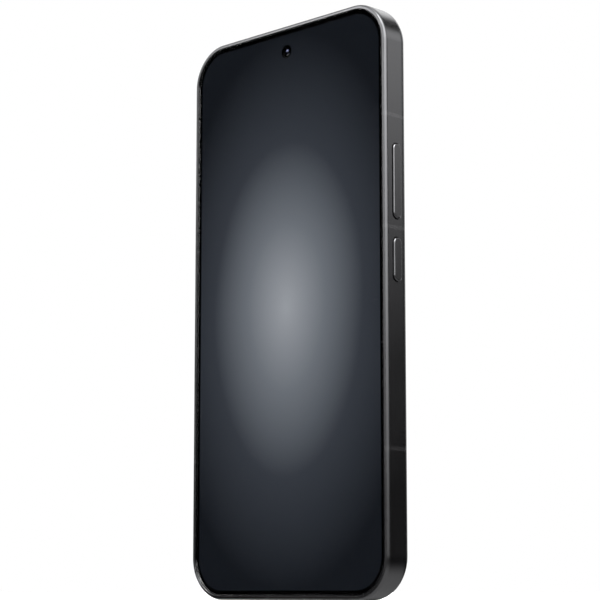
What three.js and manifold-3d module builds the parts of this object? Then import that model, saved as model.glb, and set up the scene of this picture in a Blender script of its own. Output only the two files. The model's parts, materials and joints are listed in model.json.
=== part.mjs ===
// Smartphone: an aluminium unibody frame between a flat cover glass and a glass back, with every
// piece inside it that makes it work.
// Frame: the phone stands upright, +Z along its height, screen facing -Y, keys on the +X side.
// Origin: bottom centre of the bounding box. A "depth" is the distance behind the front glass face.
import * as THREE from 'three';
import { mergeVertices } from 'three/addons/utils/BufferGeometryUtils.js';
import Module from 'manifold-3d';

const wasm = await Module();
wasm.setup();

// ---------- driving dimensions (mm) ----------
const WIDTH = 71.2;
const HEIGHT = 152.3;
const THICKNESS = 8.0; // front glass face to back glass face
const BUMP = 2.2; // rear camera deck and lens rings proud of the back glass
const FRONT = -(THICKNESS + BUMP) / 2; // Y of the front glass face
const HALF_W = WIDTH / 2;
const CORNER = 11.0; // outer corner radius seen from the front
const ARC_STEPS = 10; // facets in each quarter turn of the body's corners

const GLASS_INSET = 1.34;
const GLASS_T = 0.6;
const PANEL_INSET = 2.14;
const PANEL_D0 = 0.65;
const PANEL_D1 = 1.3;
const RIM_IN = 2.4; // thickness of the side walls behind the glass seat
const SEAT_D = 0.7; // depth of the ledge that carries the front glass
const PLATE_D0 = 1.75; // the frame's middle plate
const PLATE_D1 = 2.4;
const BACK_LEDGE_D = 7.15;
const BACK_INSET = 0.95;
const BACK_D0 = 7.2;
const EDGE_IN = 0.36; // rounding from the front lip to the side wall: across the lip
const EDGE_DEEP = 1.15; // and down the side wall
const BACK_EDGE_DEEP = 1.9; // rounding from the side wall to the back

const EARPIECE_SLOT_W = 26;
const EARPIECE_SLOT_T = 0.3;

const BAND_W = 1.0;
const BAND_GAP = 0.04;
const BANDS_RIGHT = [121.8, 92.9, 37.2];
const BANDS_LEFT = [121.8, 37.2];
const BANDS_TOP = [-21.7, 21.7];
const BANDS_BOTTOM = [-6.6, 6.6];

const KEY_D = 4.1; // depth of the keys' centre line
const KEY_W = 2.8;
const KEY_PROUD = 0.45;
const KEY_THICK = 1.7;
const KEY_CLEAR = 0.12;
const VOLUME_Z = 104.8;
const VOLUME_L = 19.2;
const POWER_Z = 84.7;
const POWER_L = 11.0;
const PLUNGER_L = 3.0;
const PLUNGER_W = 1.6;
const PLUNGER_TIP_X = 33.0;
const SWITCH_X = 32.65; // face of the tact switches that the plungers press

const CAM_X = 19.6; // centre line of the rear camera deck
const CAM_Z = [136.6, 122.2, 107.8]; // wide, tele and ultrawide
const DECK_W = 22.6;
const DECK_H = 46.6;
const DECK_Z = 122.2;
const DECK_PROUD = 1.6;
const RING_OUT = 6.4;
const RING_IN = 5.0;
const WINDOW_R = 4.9;
const FLASH_X = 2.6;
const FLASH_Z = 136.6;
const FLASH_R = 2.6;

const FRONT_CAM_Z = 145.2;
const FRONT_CAM_HOLE_R = 1.85;

const USB_D = 4.1;
const USB_W = 8.94;
const USB_T = 3.2;
const USB_L = 7.6;

const SIM_Z = 112.0;
const SIM_D = 4.75;
const SIM_W = 11.6;
const SIM_T = 1.9;

const PCB_D0 = 3.3;
const PCB_D1 = 4.1;
const SCREWS = [[-29.5, 126.5], [9.4, 104.0], [9.4, 146.0], [-29.5, 25.5], [4.6, 30.0]];
const BOSS_R = 1.7;
const BORE_R = 0.75;

// ---------- solids and placing ----------
function solid(geometry) {
  const bare = geometry.index ? geometry.toNonIndexed() : geometry.clone();
  bare.deleteAttribute('normal');
  bare.deleteAttribute('uv');
  const merged = mergeVertices(bare, 1e-4);
  return new wasm.Manifold(new wasm.Mesh({
    numProp: 3,
    vertProperties: new Float32Array(merged.attributes.position.array),
    triVerts: new Uint32Array(merged.index.array),
  }));
}

function geometryOf(made) {
  const mesh = made.getMesh();
  const geometry = new THREE.BufferGeometry();
  geometry.setAttribute('position', new THREE.BufferAttribute(mesh.vertProperties, 3));
  geometry.setIndex(new THREE.BufferAttribute(mesh.triVerts, 1));
  const flat = geometry.toNonIndexed();
  flat.computeVertexNormals();
  return flat;
}

const phone = new THREE.Group();

function add(name, shape, look) {
  const geometry = shape.isBufferGeometry ? shape : geometryOf(shape);
  const mesh = new THREE.Mesh(geometry, new THREE.MeshStandardMaterial(look));
  mesh.name = name;
  phone.add(mesh);
}

const LOOK = {
  frame: { color: 0x55585c, roughness: 0.38, metalness: 1 },
  band: { color: 0x686b6f, roughness: 0.5, metalness: 0 },
  glass: { color: 0x0b0d11, roughness: 0.05, metalness: 0 },
  panel: { color: 0x1b2029, roughness: 0.3, metalness: 0 },
  back: { color: 0x3c4045, roughness: 0.35, metalness: 0 },
  deck: { color: 0x4a4d51, roughness: 0.3, metalness: 1 },
  lens: { color: 0x0a0c12, roughness: 0.05, metalness: 0 },
  flash: { color: 0xf2ead2, roughness: 0.25, metalness: 0 },
  black: { color: 0x17181a, roughness: 0.6, metalness: 0 },
  board: { color: 0x12402c, roughness: 0.45, metalness: 0 },
  can: { color: 0xb9bcc0, roughness: 0.35, metalness: 1 },
  gold: { color: 0xb58a4a, roughness: 0.35, metalness: 1 },
  flex: { color: 0x4a2b12, roughness: 0.5, metalness: 0 },
  copper: { color: 0xb06a3a, roughness: 0.4, metalness: 1 },
  cell: { color: 0x9a9da1, roughness: 0.45, metalness: 0 },
  steel: { color: 0x8d9094, roughness: 0.35, metalness: 1 },
};

// A block between two x, depth and z limits.
function block(x0, x1, d0, d1, z0, z1) {
  const geometry = new THREE.BoxGeometry(x1 - x0, d1 - d0, z1 - z0);
  geometry.translate((x0 + x1) / 2, FRONT + (d0 + d1) / 2, (z0 + z1) / 2);
  return geometry;
}

// An outline in x and z, extruded from one depth to another.
function slab(shape, d0, d1, curveSegments = 4) {
  const geometry = new THREE.ExtrudeGeometry(shape, {
    depth: d1 - d0, bevelEnabled: false, curveSegments,
  });
  geometry.rotateX(Math.PI / 2);
  geometry.translate(0, FRONT + d1, 0);
  return geometry;
}

// A round piece whose axis runs front to back.
function disc(x, z, radius, d0, d1, sides = 24) {
  const geometry = new THREE.CylinderGeometry(radius, radius, d1 - d0, sides);
  geometry.translate(x, FRONT + (d0 + d1) / 2, z);
  return geometry;
}

// A turned piece on an axis that runs front to back; the profile holds [radius, depth] pairs.
function turned(x, z, profile, sides = 24) {
  const points = profile.map(([radius, depth]) => new THREE.Vector2(radius, depth));
  const geometry = new THREE.LatheGeometry(points, sides);
  geometry.translate(x, FRONT, z);
  return geometry;
}

// A closed outline from [x, z] pairs.
function outline(points) {
  return new THREE.Shape(points.map(([x, z]) => new THREE.Vector2(x, z)));
}

function roundedRect(x, z, w, h, r) {
  const shape = new THREE.Shape();
  const x0 = x - w / 2;
  const z0 = z - h / 2;
  shape.moveTo(x0 + r, z0);
  shape.lineTo(x0 + w - r, z0);
  shape.absarc(x0 + w - r, z0 + r, r, -Math.PI / 2, 0);
  shape.lineTo(x0 + w, z0 + h - r);
  shape.absarc(x0 + w - r, z0 + h - r, r, 0, Math.PI / 2);
  shape.lineTo(x0 + r, z0 + h);
  shape.absarc(x0 + r, z0 + h - r, r, Math.PI / 2, Math.PI);
  shape.lineTo(x0, z0 + r);
  shape.absarc(x0 + r, z0 + r, r, Math.PI, Math.PI * 1.5);
  return shape;
}

// A plate with the body's own outline, moved inwards by an inset. three.js puts two facets on an
// arc for each curve segment.
function bodySlab(inset, d0, d1) {
  const shape = roundedRect(0, HEIGHT / 2, WIDTH - 2 * inset, HEIGHT - 2 * inset, CORNER - inset);
  return solid(slab(shape, d0, d1, ARC_STEPS / 2));
}

function cornerPoints(inset) {
  const cx = HALF_W - CORNER;
  const cz = HEIGHT / 2 - CORNER;
  const centres = [[cx, cz, 0], [-cx, cz, 1], [-cx, -cz, 2], [cx, -cz, 3]];
  const points = [];
  for (const [x, z, quarter] of centres) {
    for (let i = 0; i <= ARC_STEPS; i += 1) {
      const angle = (quarter + i / ARC_STEPS) * Math.PI / 2;
      points.push([
        x + (CORNER - inset) * Math.cos(angle),
        z + (CORNER - inset) * Math.sin(angle) + HEIGHT / 2,
      ]);
    }
  }
  return points;
}

// A ring that follows the body's outline; the section holds [inset, depth] pairs.
function rimRing(section) {
  const loops = section.map(([inset, depth]) => (
    cornerPoints(inset).map(([x, z]) => [x, FRONT + depth, z])
  ));
  const across = loops.length;
  const around = loops[0].length;
  const positions = loops.flat(2);
  const index = [];
  for (let j = 0; j < across; j += 1) {
    const next = (j + 1) % across;
    for (let i = 0; i < around; i += 1) {
      const k = (i + 1) % around;
      index.push(j * around + i, next * around + k, j * around + k);
      index.push(j * around + i, next * around + i, next * around + k);
    }
  }
  const geometry = new THREE.BufferGeometry();
  geometry.setAttribute('position', new THREE.Float32BufferAttribute(positions, 3));
  geometry.setIndex(index);
  return geometry;
}

function rimSection() {
  const section = [[GLASS_INSET - 0.06, SEAT_D], [GLASS_INSET - 0.06, 0]];
  for (let i = 0; i <= 3; i += 1) {
    const angle = (i / 3) * Math.PI / 2;
    section.push([EDGE_IN * (1 - Math.sin(angle)), EDGE_DEEP * (1 - Math.cos(angle))]);
  }
  const backR = BACK_INSET - 0.1;
  for (let i = 0; i <= 2; i += 1) {
    const angle = (i / 2) * Math.PI / 2;
    const depth = THICKNESS - 0.1 - BACK_EDGE_DEEP * (1 - Math.sin(angle));
    section.push([backR * (1 - Math.cos(angle)), depth]);
  }
  section.push([BACK_INSET - 0.05, THICKNESS - 0.1], [BACK_INSET - 0.05, BACK_LEDGE_D]);
  section.push([RIM_IN, BACK_LEDGE_D], [RIM_IN, PLATE_D1], [PANEL_INSET - 0.1, PLATE_D1]);
  section.push([PANEL_INSET - 0.1, SEAT_D]);
  return section;
}

// ---------- aluminium frame and its antenna bands ----------
// Boxes through the side walls where plastic replaces the metal.
function bandBoxes() {
  const boxes = [];
  const half = BAND_W / 2;
  const sides = [['right', BANDS_RIGHT, 1], ['left', BANDS_LEFT, -1]];
  for (const [side, heights, sign] of sides) {
    for (const z of heights) {
      const x = sign * (HALF_W - RIM_IN / 2);
      boxes.push([`antenna_band_${side}`, [x - 2, x + 2, -1, 9, z - half, z + half]]);
    }
  }
  const ends = [['top', BANDS_TOP, HEIGHT - RIM_IN / 2], ['bottom', BANDS_BOTTOM, RIM_IN / 2]];
  for (const [end, places, z] of ends) {
    for (const x of places) {
      boxes.push([`antenna_band_${end}`, [x - half, x + half, -1, 9, z - 2, z + 2]]);
    }
  }
  return boxes;
}

function keyPocket(z, length) {
  const half = length / 2 + KEY_CLEAR;
  const across = KEY_W / 2 + KEY_CLEAR;
  return solid(block(33.85, HALF_W + 1, KEY_D - across, KEY_D + across, z - half, z + half));
}

function plungerHole(z) {
  const along = PLUNGER_L / 2 + KEY_CLEAR;
  const across = PLUNGER_W / 2 + KEY_CLEAR;
  return solid(block(32, 35, KEY_D - across, KEY_D + across, z - along, z + along));
}

function volumePlungers() {
  return [VOLUME_Z + VOLUME_L * 0.3, VOLUME_Z - VOLUME_L * 0.3];
}

// A straight hole through the top or bottom wall.
function wallHole(x, z, radius, depth) {
  const geometry = new THREE.CylinderGeometry(radius, radius, 4, 12);
  geometry.rotateX(Math.PI / 2);
  geometry.translate(x, FRONT + depth, z);
  return solid(geometry);
}

// A stadium-shaped opening along Z, wide in x.
function stadium(x, depth, w, t, z0, z1, curveSegments = 2) {
  const shape = roundedRect(0, 0, w, t, t / 2 - 0.001);
  const geometry = new THREE.ExtrudeGeometry(shape, {
    depth: z1 - z0, bevelEnabled: false, curveSegments,
  });
  geometry.translate(x, FRONT + depth, z0);
  return geometry;
}

function speakerHoles() {
  const places = [];
  for (let i = 0; i < 6; i += 1) {
    places.push(11.5 + i * 2.6);
  }
  return places;
}

function frameCuts() {
  const cuts = [keyPocket(VOLUME_Z, VOLUME_L), keyPocket(POWER_Z, POWER_L)];
  for (const z of [...volumePlungers(), POWER_Z]) {
    cuts.push(plungerHole(z));
  }
  cuts.push(solid(stadium(0, USB_D, USB_W + 0.3, USB_T + 0.3, -1, 4, 4)));
  for (const x of speakerHoles()) {
    cuts.push(solid(stadium(x, USB_D, 1.7, 1.1, -1, 4)));
  }
  cuts.push(wallHole(-12.0, 1.2, 0.6, USB_D));
  cuts.push(wallHole(8.0, HEIGHT - 1.2, 0.5, USB_D));
  cuts.push(solid(block(-HALF_W - 1, -32, SIM_D - SIM_T / 2 - 0.1, SIM_D + SIM_T / 2 + 0.1,
    SIM_Z - SIM_W / 2 - 0.1, SIM_Z + SIM_W / 2 + 0.1)));
  const slotZ = HEIGHT - GLASS_INSET;
  cuts.push(solid(block(-EARPIECE_SLOT_W / 2, EARPIECE_SLOT_W / 2, -1, SEAT_D, slotZ - 0.5,
    slotZ + EARPIECE_SLOT_T)));
  return cuts;
}

function middlePlate() {
  const plate = bodySlab(PANEL_INSET - 0.2, PLATE_D0, PLATE_D1);
  const frontCamera = solid(block(-3.4, 3.4, 1, 3, FRONT_CAM_Z - 3.4, FRONT_CAM_Z + 3.4));
  const earpiece = solid(block(-17.6, -5.6, 1, 3, 142.8, 148.6));
  const flexSlot = solid(block(-8.6, 8.6, 1, 3, 22.4, 25.2));
  return plate.subtract(frontCamera).subtract(earpiece).subtract(flexSlot);
}

function bosses() {
  return SCREWS.map(([x, z]) => {
    const post = solid(disc(x, z, BOSS_R, PLATE_D1 - 0.2, PCB_D0 - 0.05, 16));
    return [post, solid(disc(x, z, BORE_R, PLATE_D1 - 0.05, PCB_D0 + 1, 12))];
  });
}

function buildFrame() {
  const ring = solid(rimRing(rimSection()));
  let frame = ring;
  for (const cut of frameCuts()) {
    frame = frame.subtract(cut);
  }
  const walls = frame;
  for (const [, box] of bandBoxes()) {
    frame = frame.subtract(solid(block(...box)));
  }
  frame = frame.add(middlePlate());
  for (const [post, bore] of bosses()) {
    frame = frame.add(post).subtract(bore);
  }
  add('mid_frame', frame, LOOK.frame);
  buildBands(walls);
}

// Each insert fills its gap in the wall, clear of the metal and of the middle plate.
function buildBands(walls) {
  const counts = {};
  const core = bodySlab(PANEL_INSET - 0.24, PLATE_D0 - BAND_GAP, PLATE_D1 + BAND_GAP);
  for (const [name, [x0, x1, d0, d1, z0, z1]] of bandBoxes()) {
    counts[name] = (counts[name] ?? 0) + 1;
    const upright = name.endsWith('top') || name.endsWith('bottom');
    const gapX = upright ? BAND_GAP : 0;
    const gapZ = upright ? 0 : BAND_GAP;
    const box = block(x0 + gapX, x1 - gapX, d0, d1, z0 + gapZ, z1 - gapZ);
    const insert = walls.intersect(solid(box)).subtract(core);
    add(`${name}_${counts[name]}`, insert, LOOK.band);
  }
}

// ---------- front: glass, display and what sits behind it ----------
function buildFront() {
  add('cover_glass', bodySlab(GLASS_INSET, 0, GLASS_T), LOOK.glass);
  const panel = bodySlab(PANEL_INSET, PANEL_D0, PANEL_D1);
  const hole = solid(disc(0, FRONT_CAM_Z, FRONT_CAM_HOLE_R, 0, 2));
  add('display_panel', panel.subtract(hole), LOOK.panel);
  add('fingerprint_sensor', block(-4, 4, 1.35, 1.65, 36, 44), LOOK.gold);
  buildDisplayFlex();
}

// A ribbon bent through the slot in the middle plate; the profile holds [depth, z] pairs.
function ribbon(x0, x1, profile) {
  const shape = new THREE.Shape(profile.map(([d, z]) => new THREE.Vector2(d, z)));
  const geometry = new THREE.ExtrudeGeometry(shape, { depth: x1 - x0, bevelEnabled: false });
  const turn = new THREE.Matrix4();
  turn.makeBasis(new THREE.Vector3(0, 1, 0), new THREE.Vector3(0, 0, 1), new THREE.Vector3(1, 0, 0));
  geometry.applyMatrix4(turn);
  geometry.translate(x0, FRONT, 0);
  return geometry;
}

function buildDisplayFlex() {
  const profile = [
    [1.4, 8.0], [1.6, 8.0], [1.6, 23.2], [3.0, 23.2], [3.0, 14.0],
    [3.25, 14.0], [3.25, 23.6], [1.4, 23.6],
  ];
  add('display_flex', ribbon(-7.5, 7.0, profile), LOOK.flex);
}

// ---------- back: glass cover, camera deck, rings, windows and flash ----------
function buildBack() {
  let cover = bodySlab(BACK_INSET, BACK_D0, THICKNESS);
  const plug = roundedRect(CAM_X, DECK_Z, DECK_W - 1.6, DECK_H - 1.6, (DECK_W - 1.6) / 2 - 0.01);
  cover = cover.subtract(solid(slab(plug, 7, 9)));
  cover = cover.subtract(solid(disc(FLASH_X, FLASH_Z, FLASH_R, 7, 9)));
  add('back_cover', cover, LOOK.back);
  buildDeck();
  buildLensRings();
  add('flash_window', turned(FLASH_X, FLASH_Z, [
    [0, 6.9], [FLASH_R - 0.1, 6.9], [FLASH_R - 0.1, 8.05], [FLASH_R - 0.5, 8.2], [0, 8.25],
  ], 16), LOOK.flash);
  add('flash_led', block(FLASH_X - 1.3, FLASH_X + 1.3, 6.05, 6.8, FLASH_Z - 1.3, FLASH_Z + 1.3),
    LOOK.flash);
}

function buildDeck() {
  const top = THICKNESS + DECK_PROUD;
  const inner = roundedRect(CAM_X, DECK_Z, DECK_W - 1.8, DECK_H - 1.8, (DECK_W - 1.8) / 2 - 0.01);
  const outer = roundedRect(CAM_X, DECK_Z, DECK_W, DECK_H, DECK_W / 2 - 0.01);
  const cap = roundedRect(CAM_X, DECK_Z, DECK_W - 0.7, DECK_H - 0.7, (DECK_W - 0.7) / 2 - 0.01);
  let deck = solid(slab(inner, 6.9, top - 0.1));
  deck = deck.add(solid(slab(outer, THICKNESS + 0.05, top - 0.35)));
  deck = deck.add(solid(slab(cap, THICKNESS + 0.2, top)));
  for (const z of CAM_Z) {
    deck = deck.subtract(solid(disc(CAM_X, z, RING_IN + 0.45, 6, 11)));
  }
  const hollow = roundedRect(CAM_X, DECK_Z, DECK_W - 5.4, DECK_H - 5.4, (DECK_W - 5.4) / 2 - 0.01);
  deck = deck.subtract(solid(slab(hollow, 6, 8.6, 4)));
  add('camera_deck', deck, LOOK.deck);
}

function buildLensRings() {
  const names = ['wide', 'tele', 'ultrawide'];
  const top = THICKNESS + DECK_PROUD;
  CAM_Z.forEach((z, i) => {
    add(`${names[i]}_ring`, turned(CAM_X, z, [
      [RING_IN, top - 0.55], [RING_IN + 0.35, top - 0.55], [RING_IN + 0.35, top + 0.03],
      [RING_OUT - 0.1, top + 0.03], [RING_OUT - 0.1, top + 0.35], [RING_OUT - 0.35, top + 0.6],
      [RING_IN + 0.15, top + 0.6], [RING_IN, top + 0.45], [RING_IN, top - 0.55],
    ]), LOOK.steel);
    add(`${names[i]}_window`, disc(CAM_X, z, WINDOW_R, top - 0.15, top + 0.4), LOOK.lens);
  });
}

// ---------- camera modules ----------
// A square housing with a round well in which the lens slides to focus.
function cameraHousing(size, z, boreR, d0, d1) {
  const half = size / 2;
  const can = solid(block(CAM_X - half, CAM_X + half, d0, d1, z - half, z + half));
  return can.subtract(solid(disc(CAM_X, z, boreR, d0 + 0.9, d1 + 1, 20)));
}

function lensBarrel(z, radius, d0, d1) {
  return turned(CAM_X, z, [
    [0, d0], [radius, d0], [radius, d1 - 1.4], [radius * 0.82, d1 - 1.4],
    [radius * 0.82, d1], [radius * 0.62, d1], [radius * 0.5, d1 - 0.5], [0, d1 - 0.35],
  ], 20);
}

function buildRearCameras() {
  const [wide, tele, ultra] = CAM_Z;
  const sensors = [['wide', wide, 6.2], ['tele', tele, 5.4]];
  for (const [name, z, half] of sensors) {
    add(`${name}_sensor_board`, block(CAM_X - half, CAM_X + half, 2.5, 2.95, z - half, z + half),
      LOOK.board);
  }
  add('wide_housing', cameraHousing(11.6, wide, 4.5, 3.0, 6.8), LOOK.black);
  add('tele_housing', cameraHousing(10.4, tele, 4.0, 3.0, 6.8), LOOK.black);
  add('ultrawide_housing', cameraHousing(9.4, ultra, 3.6, 2.6, 6.6), LOOK.black);
  add('wide_lens', lensBarrel(wide, 4.3, 4.3, 8.9), LOOK.lens);
  add('tele_lens', lensBarrel(tele, 3.8, 4.3, 8.8), LOOK.lens);
  add('ultrawide_lens', lensBarrel(ultra, 3.4, 3.6, 9.0), LOOK.lens);
}

function buildFrontCamera() {
  const half = 3.1;
  const can = solid(block(-half, half, 1.8, 5.0, FRONT_CAM_Z - half, FRONT_CAM_Z + half));
  const nose = solid(turned(0, FRONT_CAM_Z, [
    [0, 0.95], [0.8, 0.85], [1.15, 0.72], [1.65, 0.72], [1.65, 1.9], [0, 1.9],
  ], 24));
  add('front_camera', can.add(nose), LOOK.black);
}

// ---------- boards, chips and shields ----------
function mainboardOutline() {
  return outline([
    [-32.6, 101.2], [12.6, 101.2], [12.6, 149.2], [4.0, 149.2], [4.0, 141.4], [-18.4, 141.4],
    [-18.4, 149.2], [-27.0, 149.2], [-32.6, 143.0],
  ]);
}

function withScrewHoles(made, d0, d1, radius) {
  let holed = made;
  for (const [x, z] of SCREWS) {
    holed = holed.subtract(solid(disc(x, z, radius, d0, d1, 12)));
  }
  return holed;
}

// A pressed tin can, open towards the board.
function shieldCan(x0, x1, z0, z1, d1) {
  const outer = solid(block(x0, x1, PCB_D1 + 0.05, d1, z0, z1));
  return outer.subtract(solid(block(x0 + 0.2, x1 - 0.2, 4, d1 - 0.2, z0 + 0.2, z1 - 0.2)));
}

function buildBoards() {
  const main = solid(slab(mainboardOutline(), PCB_D0, PCB_D1));
  add('mainboard', withScrewHoles(main, 3, 5, 0.9), LOOK.board);
  add('soc_package', block(-10, 4, 4.15, 5.1, 110, 124), LOOK.black);
  add('shield_can_main', shieldCan(-14, 7, 107.0, 139.0, 5.5), LOOK.can);
  add('shield_can_radio', shieldCan(-27.5, -15, 121.5, 142.0, 5.5), LOOK.can);
  const sub = solid(slab(outline([
    [-32.4, 19.0], [-14.0, 19.0], [-14.0, 3.0], [-5.2, 3.0], [-5.2, 11.0], [5.2, 11.0],
    [5.2, 3.0], [7.6, 3.0], [7.6, 34.0], [-32.4, 34.0],
  ]), PCB_D0, PCB_D1));
  add('sub_board', withScrewHoles(sub, 3, 5, 0.9), LOOK.board);
}

// The plastic carrier with the antennas, screwed down over the mainboard.
function buildAntennaCover() {
  const shape = outline([
    [-32.6, 101.6], [12.6, 101.6], [12.6, 149.2], [-27.0, 149.2], [-32.6, 143.0],
  ]);
  const cover = solid(slab(shape, 5.65, 6.0));
  add('antenna_cover', withScrewHoles(cover, 5, 7, 0.9), LOOK.black);
}

function buildScrews() {
  SCREWS.forEach(([x, z], i) => {
    const seat = z > 90 ? 6.05 : 5.35;
    add(`screw_${i + 1}`, turned(x, z, [
      [0, 2.5], [0.65, 2.5], [0.65, seat], [1.3, seat], [1.3, seat + 0.45],
      [0.45, seat + 0.45], [0.3, seat + 0.15], [0, seat + 0.15],
    ], 12), LOOK.steel);
  });
}

// ---------- power ----------
function buildBattery() {
  const shape = roundedRect(-1.0, 69.0, 56.0, 57.0, 1.6);
  add('battery_cell', slab(shape, 2.95, 6.65, 2), LOOK.cell);
  add('battery_board', block(-18, 8, 4.4, 5.6, 97.8, 100.6), LOOK.board);
  const ringShape = new THREE.Shape();
  ringShape.absarc(2, 70, 21.5, 0, Math.PI * 2);
  const inner = new THREE.Path();
  inner.absarc(2, 70, 11.5, 0, Math.PI * 2, true);
  ringShape.holes.push(inner);
  add('charging_coil', slab(ringShape, 6.75, 7.1, 14), LOOK.copper);
  add('vapour_chamber', slab(roundedRect(-10, 96, 26, 58, 4), 2.45, 2.8, 4), LOOK.copper);
}

function buildInterconnect() {
  const profile = [
    [4.15, 27.0], [4.65, 27.0], [4.65, 33.4], [6.85, 39.0], [6.85, 98.8], [4.65, 102.6],
    [4.65, 105.2], [4.15, 105.2], [4.15, 102.4], [6.7, 98.6], [6.7, 39.4], [4.15, 34.0],
  ];
  add('interconnect_flex', ribbon(-27.5, -22.5, profile), LOOK.flex);
}

// ---------- bottom end: port, loudspeaker and vibration motor ----------
function buildPort() {
  const shell = solid(stadium(0, USB_D, USB_W, USB_T, 0.35, USB_L + 2.6, 4));
  const mouth = solid(stadium(0, USB_D, USB_W - 0.6, USB_T - 0.6, -1, USB_L, 4));
  add('usb_shell', shell.subtract(mouth), LOOK.steel);
  const tongue = solid(block(-3.35, 3.35, USB_D - 0.35, USB_D + 0.35, 1.4, USB_L - 0.05));
  const root = solid(block(-3.6, 3.6, USB_D - 0.9, USB_D + 0.9, USB_L - 1.2, USB_L - 0.05));
  add('usb_tongue', tongue.add(root), LOOK.black);
}

function buildLoudspeaker() {
  const box = solid(slab(outline([
    [8.2, 2.6], [25.5, 2.6], [32.0, 9.0], [32.0, 33.5], [8.2, 33.5],
  ]), 2.6, 6.6));
  const cover = solid(slab(outline([
    [-31.6, 20.0], [8.4, 20.0], [8.4, 33.0], [-31.6, 33.0],
  ]), 4.95, 5.3));
  const channel = solid(block(10.4, 26.2, 3.2, 5.0, 2.0, 8.0));
  const body = box.add(cover.subtract(interconnectRelief())).subtract(channel);
  add('loudspeaker', withScrewHoles(body, 4, 5.34, 0.9), LOOK.black);
}

function interconnectRelief() {
  return solid(block(-28.5, -21.5, 4.5, 6, 26.0, 34.0));
}

function buildHaptics() {
  const can = solid(block(-30.5, -14.5, 2.6, 6.2, 6.5, 17.5));
  const hollow = solid(block(-29.9, -15.1, 3.1, 5.7, 5.5, 16.9));
  add('haptic_housing', can.subtract(hollow), LOOK.can);
  add('haptic_mass', block(-28.6, -16.4, 3.4, 5.4, 7.4, 16.0), LOOK.steel);
}

function buildEarpiece() {
  const box = solid(block(-17.3, -5.9, 2.0, 5.2, 143.1, 148.3));
  add('earpiece_speaker', box, LOOK.black);
}

// ---------- SIM tray and reader ----------
function buildSim() {
  const z0 = SIM_Z - SIM_W / 2;
  const z1 = SIM_Z + SIM_W / 2;
  const face = solid(block(-HALF_W + 0.02, -33.7, SIM_D - SIM_T / 2, SIM_D + SIM_T / 2, z0, z1));
  const plate = solid(block(-33.8, -17.4, SIM_D - 0.4, SIM_D + 0.4, z0 + 0.2, z1 - 0.2));
  const pocket = solid(block(-31.6, -18.9, SIM_D - 0.2, SIM_D + 1, SIM_Z - 4.5, SIM_Z + 4.5));
  const window = solid(block(-30.6, -19.9, SIM_D - 1, SIM_D + 1, SIM_Z - 3.6, SIM_Z + 3.6));
  const pin = new THREE.CylinderGeometry(0.45, 0.45, 5, 10);
  pin.rotateZ(Math.PI / 2);
  pin.translate(-HALF_W, FRONT + SIM_D, z0 + 1.5);
  const tray = face.subtract(solid(pin)).add(plate).subtract(pocket).subtract(window);
  add('sim_tray', tray, LOOK.frame);
  const cage = solid(block(-32.4, -16.6, 4.15, 5.55, z0 - 0.1, z1 + 0.1));
  const slot = solid(block(-33, -17.0, 4.25, 5.3, z0 + 0.1, z1 - 0.1));
  add('sim_reader', cage.subtract(slot), LOOK.can);
}

// ---------- side keys ----------
function keyCap(z, length, plungers) {
  const x1 = HALF_W + KEY_PROUD;
  const x0 = x1 - KEY_THICK;
  const shape = roundedRect(0, 0, length, KEY_W, KEY_W / 2 - 0.01);
  const cap = new THREE.ExtrudeGeometry(shape, {
    depth: KEY_THICK - 0.3, bevelEnabled: true, bevelThickness: 0.15, bevelSize: 0.15,
    bevelOffset: -0.15, bevelSegments: 1, curveSegments: 5,
  });
  const turn = new THREE.Matrix4();
  turn.makeBasis(new THREE.Vector3(0, 0, 1), new THREE.Vector3(0, 1, 0), new THREE.Vector3(-1, 0, 0));
  cap.applyMatrix4(turn);
  cap.translate(x1 - 0.15, FRONT + KEY_D, z);
  let key = solid(cap);
  for (const at of plungers) {
    const half = PLUNGER_L / 2;
    const across = PLUNGER_W / 2;
    key = key.add(solid(block(PLUNGER_TIP_X, x0 + 0.3, KEY_D - across, KEY_D + across,
      at - half, at + half)));
  }
  return key;
}

function buildKeys() {
  add('volume_key', keyCap(VOLUME_Z, VOLUME_L, volumePlungers()), LOOK.frame);
  add('power_key', keyCap(POWER_Z, POWER_L, [POWER_Z]), LOOK.frame);
  let flex = solid(block(31.7, 32.2, KEY_D - 1.3, KEY_D + 1.3, 76, 115.5));
  for (const z of [...volumePlungers(), POWER_Z]) {
    flex = flex.add(solid(block(32.1, SWITCH_X, KEY_D - 1.0, KEY_D + 1.0, z - 1.6, z + 1.6)));
  }
  add('key_switch_flex', flex, LOOK.flex);
}

buildFrame();
buildFront();
buildBack();
buildRearCameras();
buildFrontCamera();
buildBoards();
buildAntennaCover();
buildScrews();
buildBattery();
buildInterconnect();
buildPort();
buildLoudspeaker();
buildHaptics();
buildEarpiece();
buildSim();
buildKeys();

export default phone;
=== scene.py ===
"""Smartphone standing upright, dressed for rendering over its CAD frame.

Lengths in the constants are millimetres. A "depth" is the distance behind the front glass face,
"inset" the distance inwards from the body's outline. +X is the side with the keys.
"""
import json
import math

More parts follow.
